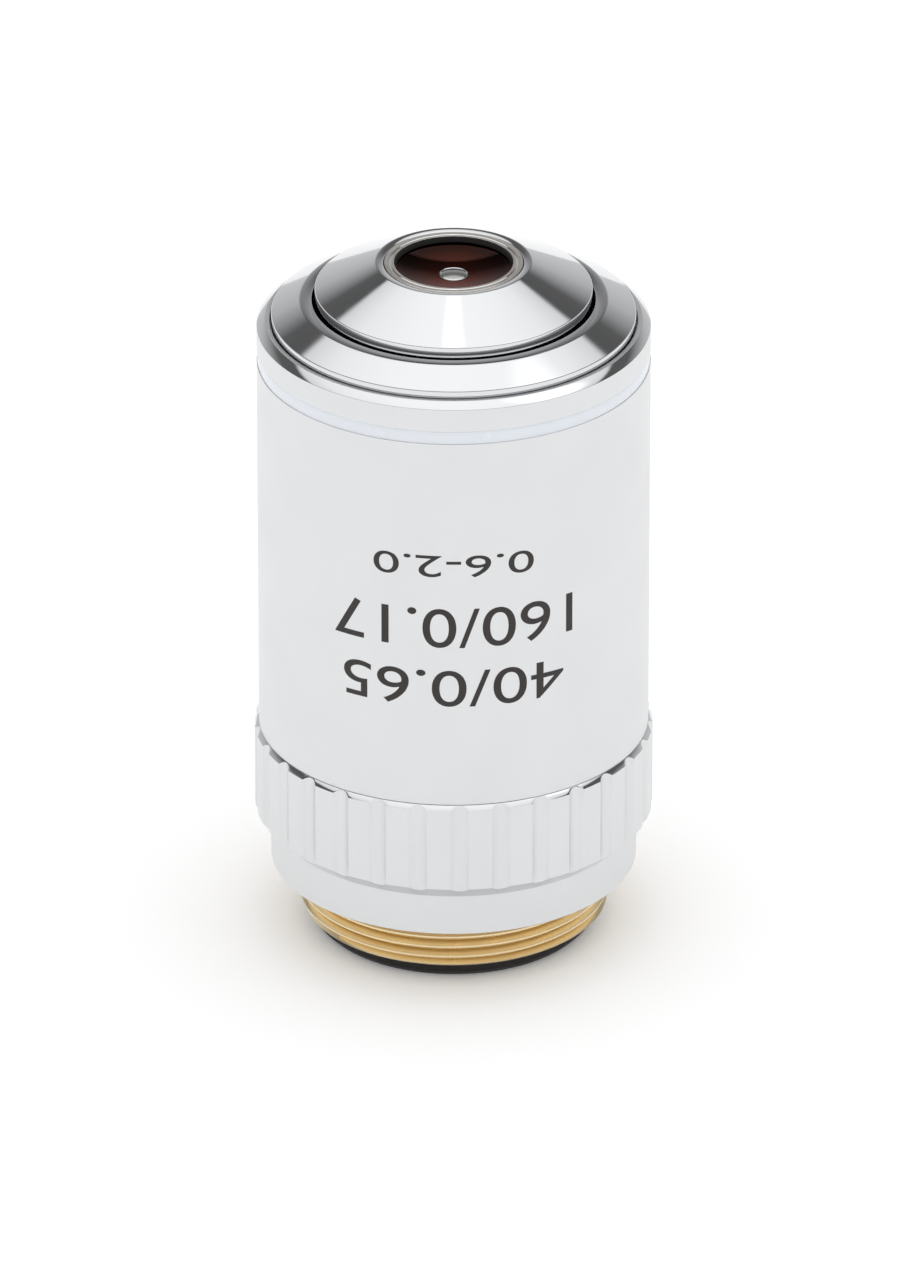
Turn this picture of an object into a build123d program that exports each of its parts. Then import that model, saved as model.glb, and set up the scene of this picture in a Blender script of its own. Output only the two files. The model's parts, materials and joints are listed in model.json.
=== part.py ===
# A microscope objective with a spring-loaded nose, as it would come apart on a bench.
# The origin is the centre of the seating shoulder, and +Z runs along the optical axis to the front lens.
# The grip flange, barrel and mount tube stay with the microscope. The nose cone, lens barrel and all the
# glass slide back into them by the travel, against the return spring, when the nose touches a specimen.
# Radii grow outwards from the mounting thread's wall, and heights grow forwards from the seating shoulder.
import os
from dataclasses import dataclass
from math import sqrt

from build123d import *

# Fits. Pieces that are screwed, pushed or cemented together leave these small gaps.
FIT = 0.02
SLIDE_FIT = 0.03
CEMENT = 0.02
STOP_GAP = 0.05

# Mounting thread, of the common 20.2 mm objective size, with its crests as a plain cylinder
THREAD_RADIUS = 10.1
THREAD_LENGTH = 3.5
THREAD_CHAMFER = 0.35
RELIEF_DEPTH = 0.5
RELIEF_LENGTH = 0.6
THREAD_WALL = 1.0

# Mount tube and the clamp that holds it in the grip flange
TUBE_WALL = 1.0
TUBE_COLLAR_WIDTH = 0.7
TUBE_COLLAR_THICKNESS = 2.7
FLANGE_LEDGE_HEIGHT = 4.0
SHIM_THICKNESS = 0.3
CLAMP_RING_THICKNESS = 2.5
GUIDE_BOTTOM = 3.0

# Grip flange: shoulder, bevel, grooved ring and the spigot for the sleeve
SHOULDER_STEP = 0.75
SHOULDER_HEIGHT = 2.85
SHOULDER_EDGE = 0.12
SHOULDER_BORE_CHAMFER = 0.3
GRIP_STEP = 0.28
GRIP_TOP = 9.9
GROOVE_COUNT = 30
GROOVE_CUTTER_RADIUS = 0.85
GROOVE_DEPTH = 0.25
GROOVE_START_DEGREES = 1.75 - 90
SPIGOT_WALL = 0.71
SPIGOT_LENGTH = 3.1

# Barrel sleeve and its mouth
BARREL_WALL = 1.3
MOUTH_CHAMFER_WIDTH = 0.55
MOUTH_CHAMFER_HEIGHT = 0.38
MOUTH_LIP = 0.3
MOUTH_DEPTH = 0.77
SLEEVE_FOOT_CHAMFER = 0.06

# Enamel code band in its groove
BAND_DROP = 1.94
BAND_WIDTH = 0.89
BAND_GROOVE_DEPTH = 0.15
BAND_RECESS = 0.04

# Front ring, the fixed cone around the nose
RING_MOUTH_GAP = 0.19
RING_SKIRT_LENGTH = 2.8
RING_EDGE_RISE = 1.25
RING_CONE_WIDTH = 1.85
RING_CONE_RISE = 0.98

# Nose cone around the front cell
NOSE_GAP = 0.35
NOSE_SKIRT_WALL = 0.76
NOSE_CONE_DROP = 1.88
NOSE_RIM = 0.5
NOSE_LEDGE = 1.25
NOSE_RIM_DIP = 0.06

# Front cell and front lens
BEZEL_INSET = 3.7
BEZEL_LIP = 0.35
BEZEL_LIP_OVERLAP = 0.32
BEZEL_WALL = 0.46
BEZEL_RECESS = 0.05
FRONT_CELL_STEP = 1.72
FRONT_CELL_FLANGE = 1.0
FRONT_LENS_EDGE = 2.65
FRONT_LENS_CLEARANCE = 0.2
FRONT_RETAINER_WIDTH = 0.7
FRONT_RETAINER_THICKNESS = 0.8

# Lens barrel and its travel
TRAVEL = 1.8
REAR_CLEARANCE = 0.8
REAR_NECK_WALL = 1.0
REAR_NECK_CLEARANCE = 0.2
REAR_NECK_LENGTH = 4.6
GUIDE_WALL = 1.57
NECK_WALL = 0.8
NECK_LENGTH = 3.45
COLLAR_CLEARANCE = 0.25
COLLAR_THICKNESS = 2.15

# Return spring around the mount tube, and its seat
SPRING_CLEARANCE = 0.27
SPRING_WIRE_RADIUS = 0.45
SPRING_TURNS = 5
SPRING_SEAT_THICKNESS = 0.6

# Guide screws in the mount tube's wall, with their tips in slots of the lens barrel
GUIDE_SCREW_COUNT = 3
GUIDE_SCREW_DROP = 9.2
GUIDE_SCREW_RADIUS = 0.8
GUIDE_SCREW_INSET = 0.05
GUIDE_TIP_RADIUS = 0.7
GUIDE_TIP_REACH = 0.7
GUIDE_SLOT_DEPTH = 0.87
GUIDE_SLOT_CLEARANCE = 0.06
DRIVER_SLOT_WIDTH = 0.3
DRIVER_SLOT_DEPTH = 0.35

# Rear stop ring, the black ring that ends the thread side
REAR_RING_STEP = 0.8
REAR_RING_THICKNESS = 1.1
REAR_RING_CHAMFER = 0.45
REAR_RING_SPIGOT = 2.3
REAR_RING_WALL = 2.18
REAR_RING_TAPER = 1.1

# Retaining rings, cells and the stop
SPANNER_SLOT_WIDTH = 1.0
SPANNER_SLOT_DEPTH = 0.5
CELL_SEAT_WIDTH = 0.45
CELL_SEAT_THICKNESS = 0.6
CELL_RECESS = 0.2
REAR_RETAINER_WIDTH = 2.18
REAR_RETAINER_THICKNESS = 1.2
STOP_WIDTH = 3.18
STOP_THICKNESS = 0.3
SPACER_WIDTH = 1.36
SPACER_LENGTH = 1.08

# Walls of the cells, and each element where it is thinnest
MENISCUS_WALL = 1.96
MENISCUS_THIN = 1.85
SINGLET_WALL = 1.26
SINGLET_THIN = 0.8
DOUBLET_WALL = 1.06
DOUBLET_CROWN_THIN = 1.0
DOUBLET_FLINT_THIN = 1.4
TRIPLET_WALL = 1.36
TRIPLET_FRONT_THIN = 1.2
TRIPLET_MIDDLE_THIN = 0.75
TRIPLET_REAR_THIN = 1.2
RELAY_WALL = 2.76
RELAY_CROWN_THIN = 1.2
RELAY_FLINT_THIN = 1.6
REAR_WALL = 2.96
REAR_THIN = 1.6

# Bend of each surface, front to rear: its radius over the element's half width,
# above zero where it bulges to the front and below where it bulges to the rear
FRONT_BENDS = (-3.4, -1.25)
MENISCUS_BENDS = (-2.22, -1.33)
SINGLET_BENDS = (3.6, -1.885)
DOUBLET_BENDS = (2.06, -1.905, -6.35)
TRIPLET_BENDS = (2.67, 1.75, -1.83, -3.67)
RELAY_BENDS = (1.63, -5.2, 1.39)
REAR_BENDS = (-1.32, -2.05)

# Radii, from the thread inwards to the lens bore and then out to the grip
RELIEF_RADIUS = THREAD_RADIUS - RELIEF_DEPTH
TUBE_REAR_BORE = RELIEF_RADIUS - THREAD_WALL
REAR_NECK_RADIUS = TUBE_REAR_BORE - REAR_NECK_CLEARANCE
LENS_BORE = REAR_NECK_RADIUS - REAR_NECK_WALL
CELL_RADIUS = LENS_BORE - FIT
BARREL_GUIDE_RADIUS = LENS_BORE + GUIDE_WALL
GUIDE_BORE = BARREL_GUIDE_RADIUS + SLIDE_FIT
TUBE_RADIUS = GUIDE_BORE + TUBE_WALL
TUBE_COLLAR_RADIUS = TUBE_RADIUS + TUBE_COLLAR_WIDTH
COUNTERBORE_RADIUS = TUBE_COLLAR_RADIUS + FIT
SPIGOT_RADIUS = COUNTERBORE_RADIUS + SPIGOT_WALL
SLEEVE_BORE = SPIGOT_RADIUS + FIT
BARREL_RADIUS = SLEEVE_BORE + BARREL_WALL
GRIP_RADIUS = BARREL_RADIUS + GRIP_STEP
SHOULDER_RADIUS = BARREL_RADIUS - SHOULDER_STEP
MOUTH_RADIUS = BARREL_RADIUS - MOUTH_CHAMFER_WIDTH - MOUTH_LIP
FRONT_RING_RADIUS = MOUTH_RADIUS - RING_MOUTH_GAP
COLLAR_RADIUS = SLEEVE_BORE - COLLAR_CLEARANCE
SPRING_RADIUS = TUBE_RADIUS + SPRING_CLEARANCE + SPRING_WIRE_RADIUS
NECK_RADIUS = LENS_BORE + NECK_WALL
NOSE_BORE = NECK_RADIUS + FIT
NOSE_RADIUS = NOSE_BORE + NOSE_SKIRT_WALL
FRONT_RING_BORE = NOSE_RADIUS + NOSE_GAP
BEZEL_BORE = CELL_RADIUS - BEZEL_INSET
FRONT_SEMI = BEZEL_BORE + BEZEL_LIP_OVERLAP
BEZEL_RADIUS = FRONT_SEMI + FIT + BEZEL_WALL
FRONT_CELL_RADIUS = BEZEL_RADIUS + FRONT_CELL_STEP


def bulge(curve, radius):
    """How far a surface at this radius lies in front of its vertex."""
    depth = abs(curve) - sqrt(curve**2 - radius**2)
    return -depth if curve > 0 else depth


def centre_thickness(front_curve, rear_curve, semi, thin):
    """An element's thickness on the axis, from the thickness where it is thinnest."""
    return thin + max(0, bulge(rear_curve, semi) - bulge(front_curve, semi))


@dataclass
class Group:
    """Elements cemented together, front to rear, and the cell that they sit in."""

    cell: str
    names: list
    wall: float
    bends: tuple
    thins: tuple

    @property
    def semi(self):
        return CELL_RADIUS - self.wall - FIT

    @property
    def curves(self):
        return [bend * self.semi for bend in self.bends]

    @property
    def seat_radius(self):
        return self.semi - CELL_SEAT_WIDTH

    def vertices(self):
        """Front and rear vertex of each element, as heights below the cell's front face."""
        front = -CELL_RECESS - max(0, bulge(self.curves[0], self.semi))
        found = []
        for first, second, thin in zip(self.curves, self.curves[1:], self.thins):
            rear = front - centre_thickness(first, second, self.semi, thin)
            found.append((front, rear))
            front = rear - CEMENT
        return found

    def seat(self):
        """Height below the front face at which the last element rests on the cell's seat."""
        curve = self.curves[-1]
        return self.vertices()[-1][1] + min(bulge(curve, self.semi), bulge(curve, self.seat_radius))

    def height(self):
        return -min(self.vertices()[-1][1] - CELL_RECESS, self.seat() - CELL_SEAT_THICKNESS)


GROUPS = [
    Group("meniscus_cell", ["meniscus_lens"], MENISCUS_WALL, MENISCUS_BENDS, (MENISCUS_THIN,)),
    Group("singlet_cell", ["singlet_lens"], SINGLET_WALL, SINGLET_BENDS, (SINGLET_THIN,)),
    Group(
        "doublet_cell",
        ["doublet_crown_lens", "doublet_flint_lens"],
        DOUBLET_WALL,
        DOUBLET_BENDS,
        (DOUBLET_CROWN_THIN, DOUBLET_FLINT_THIN),
    ),
    Group(
        "triplet_cell",
        ["triplet_front_lens", "triplet_middle_lens", "triplet_rear_lens"],
        TRIPLET_WALL,
        TRIPLET_BENDS,
        (TRIPLET_FRONT_THIN, TRIPLET_MIDDLE_THIN, TRIPLET_REAR_THIN),
    ),
    Group(
        "relay_cell",
        ["relay_crown_lens", "relay_flint_lens"],
        RELAY_WALL,
        RELAY_BENDS,
        (RELAY_CROWN_THIN, RELAY_FLINT_THIN),
    ),
    Group("rear_cell", ["rear_lens"], REAR_WALL, REAR_BENDS, (REAR_THIN,)),
]
STOP_AFTER = "triplet_cell"

# Heights, from the rear stop ring forwards through the stack of cells to the nose
REAR_RING_TOP = REAR_RING_SPIGOT - THREAD_LENGTH
LENS_BARREL_BOTTOM = REAR_RING_TOP + TRAVEL + REAR_CLEARANCE
REAR_NECK_TOP = LENS_BARREL_BOTTOM + REAR_NECK_LENGTH
STACK_BOTTOM = LENS_BARREL_BOTTOM + REAR_RETAINER_THICKNESS
STACK_LENGTH = sum(group.height() for group in GROUPS) + STOP_THICKNESS + SPACER_LENGTH
FRONT_CELL_BOTTOM = STACK_BOTTOM + STACK_LENGTH
NOSE_SEAT = FRONT_CELL_BOTTOM + FRONT_CELL_FLANGE
FRONT_CURVES = [bend * FRONT_SEMI for bend in FRONT_BENDS]
FRONT_LENS_REAR = FRONT_CELL_BOTTOM + FRONT_LENS_CLEARANCE
FRONT_LENS_FRONT = FRONT_LENS_REAR + centre_thickness(*FRONT_CURVES, FRONT_SEMI, FRONT_LENS_EDGE)
LIP_BOTTOM = FRONT_LENS_FRONT + bulge(FRONT_CURVES[0], FRONT_SEMI)
BEZEL_TOP = LIP_BOTTOM + BEZEL_LIP
NOSE_TOP = BEZEL_TOP + BEZEL_RECESS
NOSE_EDGE_HEIGHT = NOSE_TOP - NOSE_CONE_DROP
COLLAR_TOP = NOSE_SEAT - NECK_LENGTH
COLLAR_BOTTOM = COLLAR_TOP - COLLAR_THICKNESS
GUIDE_TOP = COLLAR_BOTTOM - TRAVEL - STOP_GAP
GUIDE_SCREW_HEIGHT = GUIDE_TOP - GUIDE_SCREW_DROP
RING_SKIRT_BOTTOM = COLLAR_TOP + STOP_GAP
RING_LEDGE = RING_SKIRT_BOTTOM + RING_SKIRT_LENGTH
BARREL_TOP = RING_LEDGE + MOUTH_DEPTH
BAND_TOP = BARREL_TOP - BAND_DROP
BAND_BOTTOM = BAND_TOP - BAND_WIDTH
SPIGOT_TOP = GRIP_TOP + SPIGOT_LENGTH
SPRING_SEAT_TOP = SPIGOT_TOP + SPRING_SEAT_THICKNESS
TUBE_COLLAR_BOTTOM = FLANGE_LEDGE_HEIGHT + SHIM_THICKNESS
TUBE_COLLAR_TOP = TUBE_COLLAR_BOTTOM + TUBE_COLLAR_THICKNESS


def section(*corners):
    """Face of a closed half-section, given as (radius, height) corners."""
    return make_face(Polyline(*[(r, 0, z) for r, z in corners], close=True))


def turned(*corners):
    """A piece turned on the lathe, from the corners of its half-section."""
    return revolve(section(*corners), Axis.Z)


def ring(inner, outer, bottom, top):
    """A plain turned ring."""
    return turned((inner, bottom), (outer, bottom), (outer, top), (inner, top))


def around(count, start=0.0):
    """Places turned evenly about the optical axis."""
    return [Rot(0, 0, start + i * 360 / count) for i in range(count)]


def across(distance, height):
    """A place on the X axis whose own Z points outwards from the optical axis."""
    return Pos(distance, 0, height) * Rot(0, 90, 0)


def spanner_slots(outer, face):
    """A bar across a ring's end face, to cut two slots for a spanner."""
    return Pos(0, 0, face) * Box(3 * outer, SPANNER_SLOT_WIDTH, 2 * SPANNER_SLOT_DEPTH)


def lens(front, rear, curves, semi):
    """A ground element between two vertices on the axis, with a straight rim."""

    def surface(vertex, curve):
        heights = [(r, 0, vertex + bulge(curve, r)) for r in (0, semi / 2, semi)]
        return ThreePointArc(*heights)

    front_arc = surface(front, curves[0])
    rear_arc = surface(rear, curves[1])
    rim = Line(front_arc @ 1, rear_arc @ 1)
    axis = Line(rear_arc @ 0, front_arc @ 0)
    return revolve(make_face([front_arc, rim, rear_arc, axis]), Axis.Z)


def grip_flange():
    """Grooved ring and seating shoulder in one, with a spigot for the sleeve and a counterbore."""
    body = turned(
        (TUBE_RADIUS + FIT, SHOULDER_BORE_CHAMFER),
        (TUBE_RADIUS + FIT + SHOULDER_BORE_CHAMFER, 0),
        (SHOULDER_RADIUS - SHOULDER_EDGE, 0),
        (SHOULDER_RADIUS, SHOULDER_EDGE),
        (SHOULDER_RADIUS, SHOULDER_HEIGHT),
        (GRIP_RADIUS, SHOULDER_HEIGHT + GRIP_RADIUS - SHOULDER_RADIUS),
        (GRIP_RADIUS, GRIP_TOP - GRIP_STEP),
        (BARREL_RADIUS, GRIP_TOP),
        (SPIGOT_RADIUS, GRIP_TOP),
        (SPIGOT_RADIUS, SPIGOT_TOP),
        (COUNTERBORE_RADIUS, SPIGOT_TOP),
        (COUNTERBORE_RADIUS, FLANGE_LEDGE_HEIGHT),
        (TUBE_RADIUS + FIT, FLANGE_LEDGE_HEIGHT),
    )
    reach = GRIP_RADIUS - GROOVE_DEPTH + GROOVE_CUTTER_RADIUS
    cutter = Pos(reach, 0, GRIP_TOP / 2) * Cylinder(GROOVE_CUTTER_RADIUS, 1.5 * GRIP_TOP)
    return body - [turn * cutter for turn in around(GROOVE_COUNT, GROOVE_START_DEGREES)]


def barrel_sleeve():
    """Outer tube, with a chamfered mouth, a counterbore for the front ring and a groove for the band."""
    groove = BARREL_RADIUS - BAND_GROOVE_DEPTH
    return turned(
        (SLEEVE_BORE, GRIP_TOP),
        (BARREL_RADIUS - SLEEVE_FOOT_CHAMFER, GRIP_TOP),
        (BARREL_RADIUS, GRIP_TOP + SLEEVE_FOOT_CHAMFER),
        (BARREL_RADIUS, BAND_BOTTOM),
        (groove, BAND_BOTTOM),
        (groove, BAND_TOP),
        (BARREL_RADIUS, BAND_TOP),
        (BARREL_RADIUS, BARREL_TOP - MOUTH_CHAMFER_HEIGHT),
        (BARREL_RADIUS - MOUTH_CHAMFER_WIDTH, BARREL_TOP),
        (MOUTH_RADIUS, BARREL_TOP),
        (MOUTH_RADIUS, RING_LEDGE),
        (SLEEVE_BORE, RING_LEDGE),
    )


def code_band():
    """Enamel that fills the groove, a hair below the barrel's surface."""
    return ring(BARREL_RADIUS - BAND_GROOVE_DEPTH, BARREL_RADIUS - BAND_RECESS, BAND_BOTTOM, BAND_TOP)


def front_ring():
    """Fixed cone around the nose, screwed into the barrel. Its skirt stops the lens barrel's collar."""
    edge = RING_LEDGE + RING_EDGE_RISE
    rim = edge + RING_CONE_RISE
    return turned(
        (FRONT_RING_BORE, RING_SKIRT_BOTTOM),
        (SLEEVE_BORE - FIT, RING_SKIRT_BOTTOM),
        (SLEEVE_BORE - FIT, RING_LEDGE),
        (FRONT_RING_RADIUS, RING_LEDGE),
        (FRONT_RING_RADIUS, edge),
        (FRONT_RING_RADIUS - RING_CONE_WIDTH, rim),
        (FRONT_RING_BORE, rim),
    )


def nose_cone():
    """Polished cap that clamps the front cell on the lens barrel."""
    ledge = NOSE_TOP - NOSE_LEDGE
    return turned(
        (NOSE_BORE, COLLAR_TOP),
        (NOSE_RADIUS, COLLAR_TOP),
        (NOSE_RADIUS, NOSE_EDGE_HEIGHT),
        (BEZEL_RADIUS + FIT + NOSE_RIM, NOSE_TOP),
        (BEZEL_RADIUS + FIT, NOSE_TOP - NOSE_RIM_DIP),
        (BEZEL_RADIUS + FIT, ledge),
        (FRONT_CELL_RADIUS + FIT, ledge),
        (FRONT_CELL_RADIUS + FIT, NOSE_SEAT),
        (NOSE_BORE, NOSE_SEAT),
    )


def front_cell():
    """Bezel, body and flange of the front lens's cell."""
    ledge = NOSE_TOP - NOSE_LEDGE
    return turned(
        (FRONT_SEMI + FIT, FRONT_CELL_BOTTOM),
        (CELL_RADIUS, FRONT_CELL_BOTTOM),
        (CELL_RADIUS, NOSE_SEAT),
        (FRONT_CELL_RADIUS, NOSE_SEAT),
        (FRONT_CELL_RADIUS, ledge),
        (BEZEL_RADIUS, ledge),
        (BEZEL_RADIUS, BEZEL_TOP),
        (BEZEL_BORE + BEZEL_LIP / 2, BEZEL_TOP),
        (BEZEL_BORE, LIP_BOTTOM),
        (FRONT_SEMI + FIT, LIP_BOTTOM),
    )


def front_retainer():
    """Ring that holds the front lens up against the bezel's lip."""
    bore = FRONT_SEMI - FRONT_RETAINER_WIDTH
    curve = FRONT_CURVES[1]
    top = FRONT_LENS_REAR + min(bulge(curve, FRONT_SEMI), bulge(curve, bore))
    bottom = top - FRONT_RETAINER_THICKNESS
    return ring(bore, FRONT_SEMI, bottom, top) - spanner_slots(FRONT_SEMI, bottom)


def lens_barrel():
    """Tube that carries all the cells, with a collar for the spring and slots for the guide screws."""
    tube = turned(
        (LENS_BORE, LENS_BARREL_BOTTOM),
        (REAR_NECK_RADIUS, LENS_BARREL_BOTTOM),
        (REAR_NECK_RADIUS, REAR_NECK_TOP),
        (BARREL_GUIDE_RADIUS, REAR_NECK_TOP),
        (BARREL_GUIDE_RADIUS, COLLAR_BOTTOM),
        (COLLAR_RADIUS, COLLAR_BOTTOM),
        (COLLAR_RADIUS, COLLAR_TOP),
        (NECK_RADIUS, COLLAR_TOP),
        (NECK_RADIUS, NOSE_SEAT),
        (LENS_BORE, NOSE_SEAT),
    )
    half_width = GUIDE_TIP_RADIUS + GUIDE_SLOT_CLEARANCE
    middle = Pos(BARREL_GUIDE_RADIUS, 0, GUIDE_SCREW_HEIGHT + TRAVEL / 2)
    slot = middle * Box(2 * GUIDE_SLOT_DEPTH, 2 * half_width, TRAVEL)
    for end in (0, TRAVEL):
        place = across(BARREL_GUIDE_RADIUS, GUIDE_SCREW_HEIGHT + end)
        slot += place * Cylinder(half_width, 2 * GUIDE_SLOT_DEPTH)
    return tube - [turn * slot for turn in around(GUIDE_SCREW_COUNT)]


def mount_tube():
    """Brass tube with the mounting thread below, a collar in the flange and a guide bore above."""
    tube = turned(
        (TUBE_REAR_BORE, -THREAD_LENGTH),
        (THREAD_RADIUS - THREAD_CHAMFER, -THREAD_LENGTH),
        (THREAD_RADIUS, -THREAD_LENGTH + THREAD_CHAMFER),
        (THREAD_RADIUS, -RELIEF_LENGTH),
        (RELIEF_RADIUS, -RELIEF_LENGTH),
        (RELIEF_RADIUS, SHOULDER_BORE_CHAMFER),
        (TUBE_RADIUS, SHOULDER_BORE_CHAMFER),
        (TUBE_RADIUS, TUBE_COLLAR_BOTTOM),
        (TUBE_COLLAR_RADIUS, TUBE_COLLAR_BOTTOM),
        (TUBE_COLLAR_RADIUS, TUBE_COLLAR_TOP),
        (TUBE_RADIUS, TUBE_COLLAR_TOP),
        (TUBE_RADIUS, GUIDE_TOP),
        (GUIDE_BORE, GUIDE_TOP),
        (GUIDE_BORE, GUIDE_BOTTOM),
        (TUBE_REAR_BORE, GUIDE_BOTTOM),
    )
    hole = across(TUBE_RADIUS, GUIDE_SCREW_HEIGHT) * Cylinder(GUIDE_SCREW_RADIUS + FIT, 3 * TUBE_WALL)
    return tube - [turn * hole for turn in around(GUIDE_SCREW_COUNT)]


def guide_screws():
    """Headless screws with a dog point, just below the mount tube's surface."""
    outer = TUBE_RADIUS - GUIDE_SCREW_INSET
    body_length = outer - GUIDE_BORE - GUIDE_SCREW_INSET
    tip_length = outer - GUIDE_BORE + GUIDE_TIP_REACH
    body = across(outer - body_length / 2, 0) * Cylinder(GUIDE_SCREW_RADIUS, body_length)
    tip = across(outer - tip_length / 2, 0) * Cylinder(GUIDE_TIP_RADIUS, tip_length)
    slot = Pos(outer, 0, 0) * Box(2 * DRIVER_SLOT_DEPTH, DRIVER_SLOT_WIDTH, 4 * GUIDE_SCREW_RADIUS)
    screw = Pos(0, 0, GUIDE_SCREW_HEIGHT) * (body + tip - slot)
    return Compound(children=[turn * screw for turn in around(GUIDE_SCREW_COUNT)])


def clamp_ring():
    """Threaded ring that clamps the mount tube's collar down on the shim."""
    top = TUBE_COLLAR_TOP + CLAMP_RING_THICKNESS
    body = ring(TUBE_RADIUS + FIT, TUBE_COLLAR_RADIUS, TUBE_COLLAR_TOP, top)
    return body - spanner_slots(TUBE_COLLAR_RADIUS, top)


def return_spring():
    """Open coil between its seat washer and the lens barrel's collar."""
    bottom = SPRING_SEAT_TOP + SPRING_WIRE_RADIUS
    height = COLLAR_BOTTOM - SPRING_WIRE_RADIUS - bottom
    path = Pos(0, 0, bottom) * Helix(height / SPRING_TURNS, height, SPRING_RADIUS)
    wire = Plane(origin=path @ 0, z_dir=path % 0) * Circle(SPRING_WIRE_RADIUS)
    return sweep(wire, path=path, is_frenet=True)


def rear_stop_ring():
    """Black ring screwed into the mount tube's rear bore, with a tapered aperture."""
    bottom = -THREAD_LENGTH - REAR_RING_THICKNESS
    outer = THREAD_RADIUS - REAR_RING_STEP
    spigot = TUBE_REAR_BORE - FIT
    aperture = spigot - REAR_RING_WALL
    return turned(
        (aperture + REAR_RING_TAPER, bottom),
        (outer - REAR_RING_CHAMFER, bottom),
        (outer, bottom + REAR_RING_CHAMFER),
        (outer, -THREAD_LENGTH),
        (spigot, -THREAD_LENGTH),
        (spigot, REAR_RING_TOP),
        (aperture, REAR_RING_TOP),
    )


def cell_with_lenses(group, top):
    """A cell whose front face is at this height, and the elements in it, by name."""
    pieces = {}
    spans = group.vertices()
    for name, (front, rear), first, second in zip(group.names, spans, group.curves, group.curves[1:]):
        pieces[name] = lens(top + front, top + rear, (first, second), group.semi)
    bottom = top - group.height()
    seat = top + group.seat()
    pieces[group.cell] = turned(
        (group.seat_radius, bottom),
        (CELL_RADIUS, bottom),
        (CELL_RADIUS, top),
        (group.semi + FIT, top),
        (group.semi + FIT, seat),
        (group.seat_radius, seat),
    )
    return pieces


def lens_stack():
    """Cells, elements, stop and spacer, laid from the front cell down to the rear retainer."""
    pieces = {}
    top = FRONT_CELL_BOTTOM
    for group in GROUPS:
        pieces.update(cell_with_lenses(group, top))
        top -= group.height()
        if group.cell == STOP_AFTER:
            stop_bottom = top - STOP_THICKNESS
            pieces["aperture_stop"] = ring(CELL_RADIUS - STOP_WIDTH, CELL_RADIUS, stop_bottom, top)
            top = stop_bottom - SPACER_LENGTH
            pieces["spacer_ring"] = ring(CELL_RADIUS - SPACER_WIDTH, CELL_RADIUS, top, stop_bottom)
    retainer = ring(CELL_RADIUS - REAR_RETAINER_WIDTH, CELL_RADIUS, LENS_BARREL_BOTTOM, top)
    pieces["rear_retainer"] = retainer - spanner_slots(CELL_RADIUS, LENS_BARREL_BOTTOM)
    return pieces


def build():
    """Every node by name."""
    return {
        "grip_flange": grip_flange(),
        "barrel_sleeve": barrel_sleeve(),
        "code_band": code_band(),
        "front_ring": front_ring(),
        "mount_tube": mount_tube(),
        "rear_stop_ring": rear_stop_ring(),
        "parfocal_shim": ring(TUBE_RADIUS + FIT, TUBE_COLLAR_RADIUS, FLANGE_LEDGE_HEIGHT, TUBE_COLLAR_BOTTOM),
        "clamp_ring": clamp_ring(),
        "spring_seat": ring(TUBE_RADIUS + SLIDE_FIT, SPIGOT_RADIUS, SPIGOT_TOP, SPRING_SEAT_TOP),
        "guide_screws": guide_screws(),
        "return_spring": return_spring(),
        "lens_barrel": lens_barrel(),
        "nose_cone": nose_cone(),
        "front_cell": front_cell(),
        "front_lens": lens(FRONT_LENS_FRONT, FRONT_LENS_REAR, FRONT_CURVES, FRONT_SEMI),
        "front_retainer": front_retainer(),
        **lens_stack(),
    }


os.makedirs("parts", exist_ok=True)
for node, solid in build().items():
    export_step(solid, f"parts/{node}.step")
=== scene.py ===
import json
from math import cos, hypot, pi, radians, sin, sqrt

import bmesh
import bpy
from mathutils import Matrix, Vector


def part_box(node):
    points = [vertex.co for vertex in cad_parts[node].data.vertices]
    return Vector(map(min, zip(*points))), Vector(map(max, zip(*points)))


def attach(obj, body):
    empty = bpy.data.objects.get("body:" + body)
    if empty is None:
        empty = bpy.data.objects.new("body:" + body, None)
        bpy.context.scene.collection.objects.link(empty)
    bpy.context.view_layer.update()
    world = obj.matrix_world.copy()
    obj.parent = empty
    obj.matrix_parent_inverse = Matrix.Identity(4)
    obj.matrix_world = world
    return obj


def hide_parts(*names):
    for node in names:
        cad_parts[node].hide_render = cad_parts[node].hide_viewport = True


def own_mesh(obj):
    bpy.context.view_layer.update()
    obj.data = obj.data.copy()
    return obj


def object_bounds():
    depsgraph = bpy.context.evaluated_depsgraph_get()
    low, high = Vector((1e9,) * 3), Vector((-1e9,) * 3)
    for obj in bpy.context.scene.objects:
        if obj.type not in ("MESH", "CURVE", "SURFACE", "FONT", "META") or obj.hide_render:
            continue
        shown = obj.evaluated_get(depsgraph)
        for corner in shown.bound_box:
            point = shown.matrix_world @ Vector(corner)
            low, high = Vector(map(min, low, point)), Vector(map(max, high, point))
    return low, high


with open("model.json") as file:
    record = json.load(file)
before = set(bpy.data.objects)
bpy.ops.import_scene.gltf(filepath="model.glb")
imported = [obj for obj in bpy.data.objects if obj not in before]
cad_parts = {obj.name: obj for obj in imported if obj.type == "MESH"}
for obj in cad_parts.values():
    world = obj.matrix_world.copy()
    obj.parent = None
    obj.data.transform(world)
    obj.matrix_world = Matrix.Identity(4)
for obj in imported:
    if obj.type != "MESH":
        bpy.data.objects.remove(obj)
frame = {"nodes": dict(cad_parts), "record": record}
cad_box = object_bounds()

MM = 0.001
STEPS_ROUND = 192
EDGE_BREAK = 0.06
FINE_BREAK = 0.02
BREAK_STEPS = 2
FIT = 0.02
SHARP_ANGLE = radians(50)
# Points nearer than this are one, in millimetres: on turned meshes, and on cut or printed ones
MERGE_DISTANCE = 1e-5
CUT_MERGE_DISTANCE = 1e-4
# Upward share of a normal, between which a face counts as a sloping cut
SLOPE = (0.25, 0.97)

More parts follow.
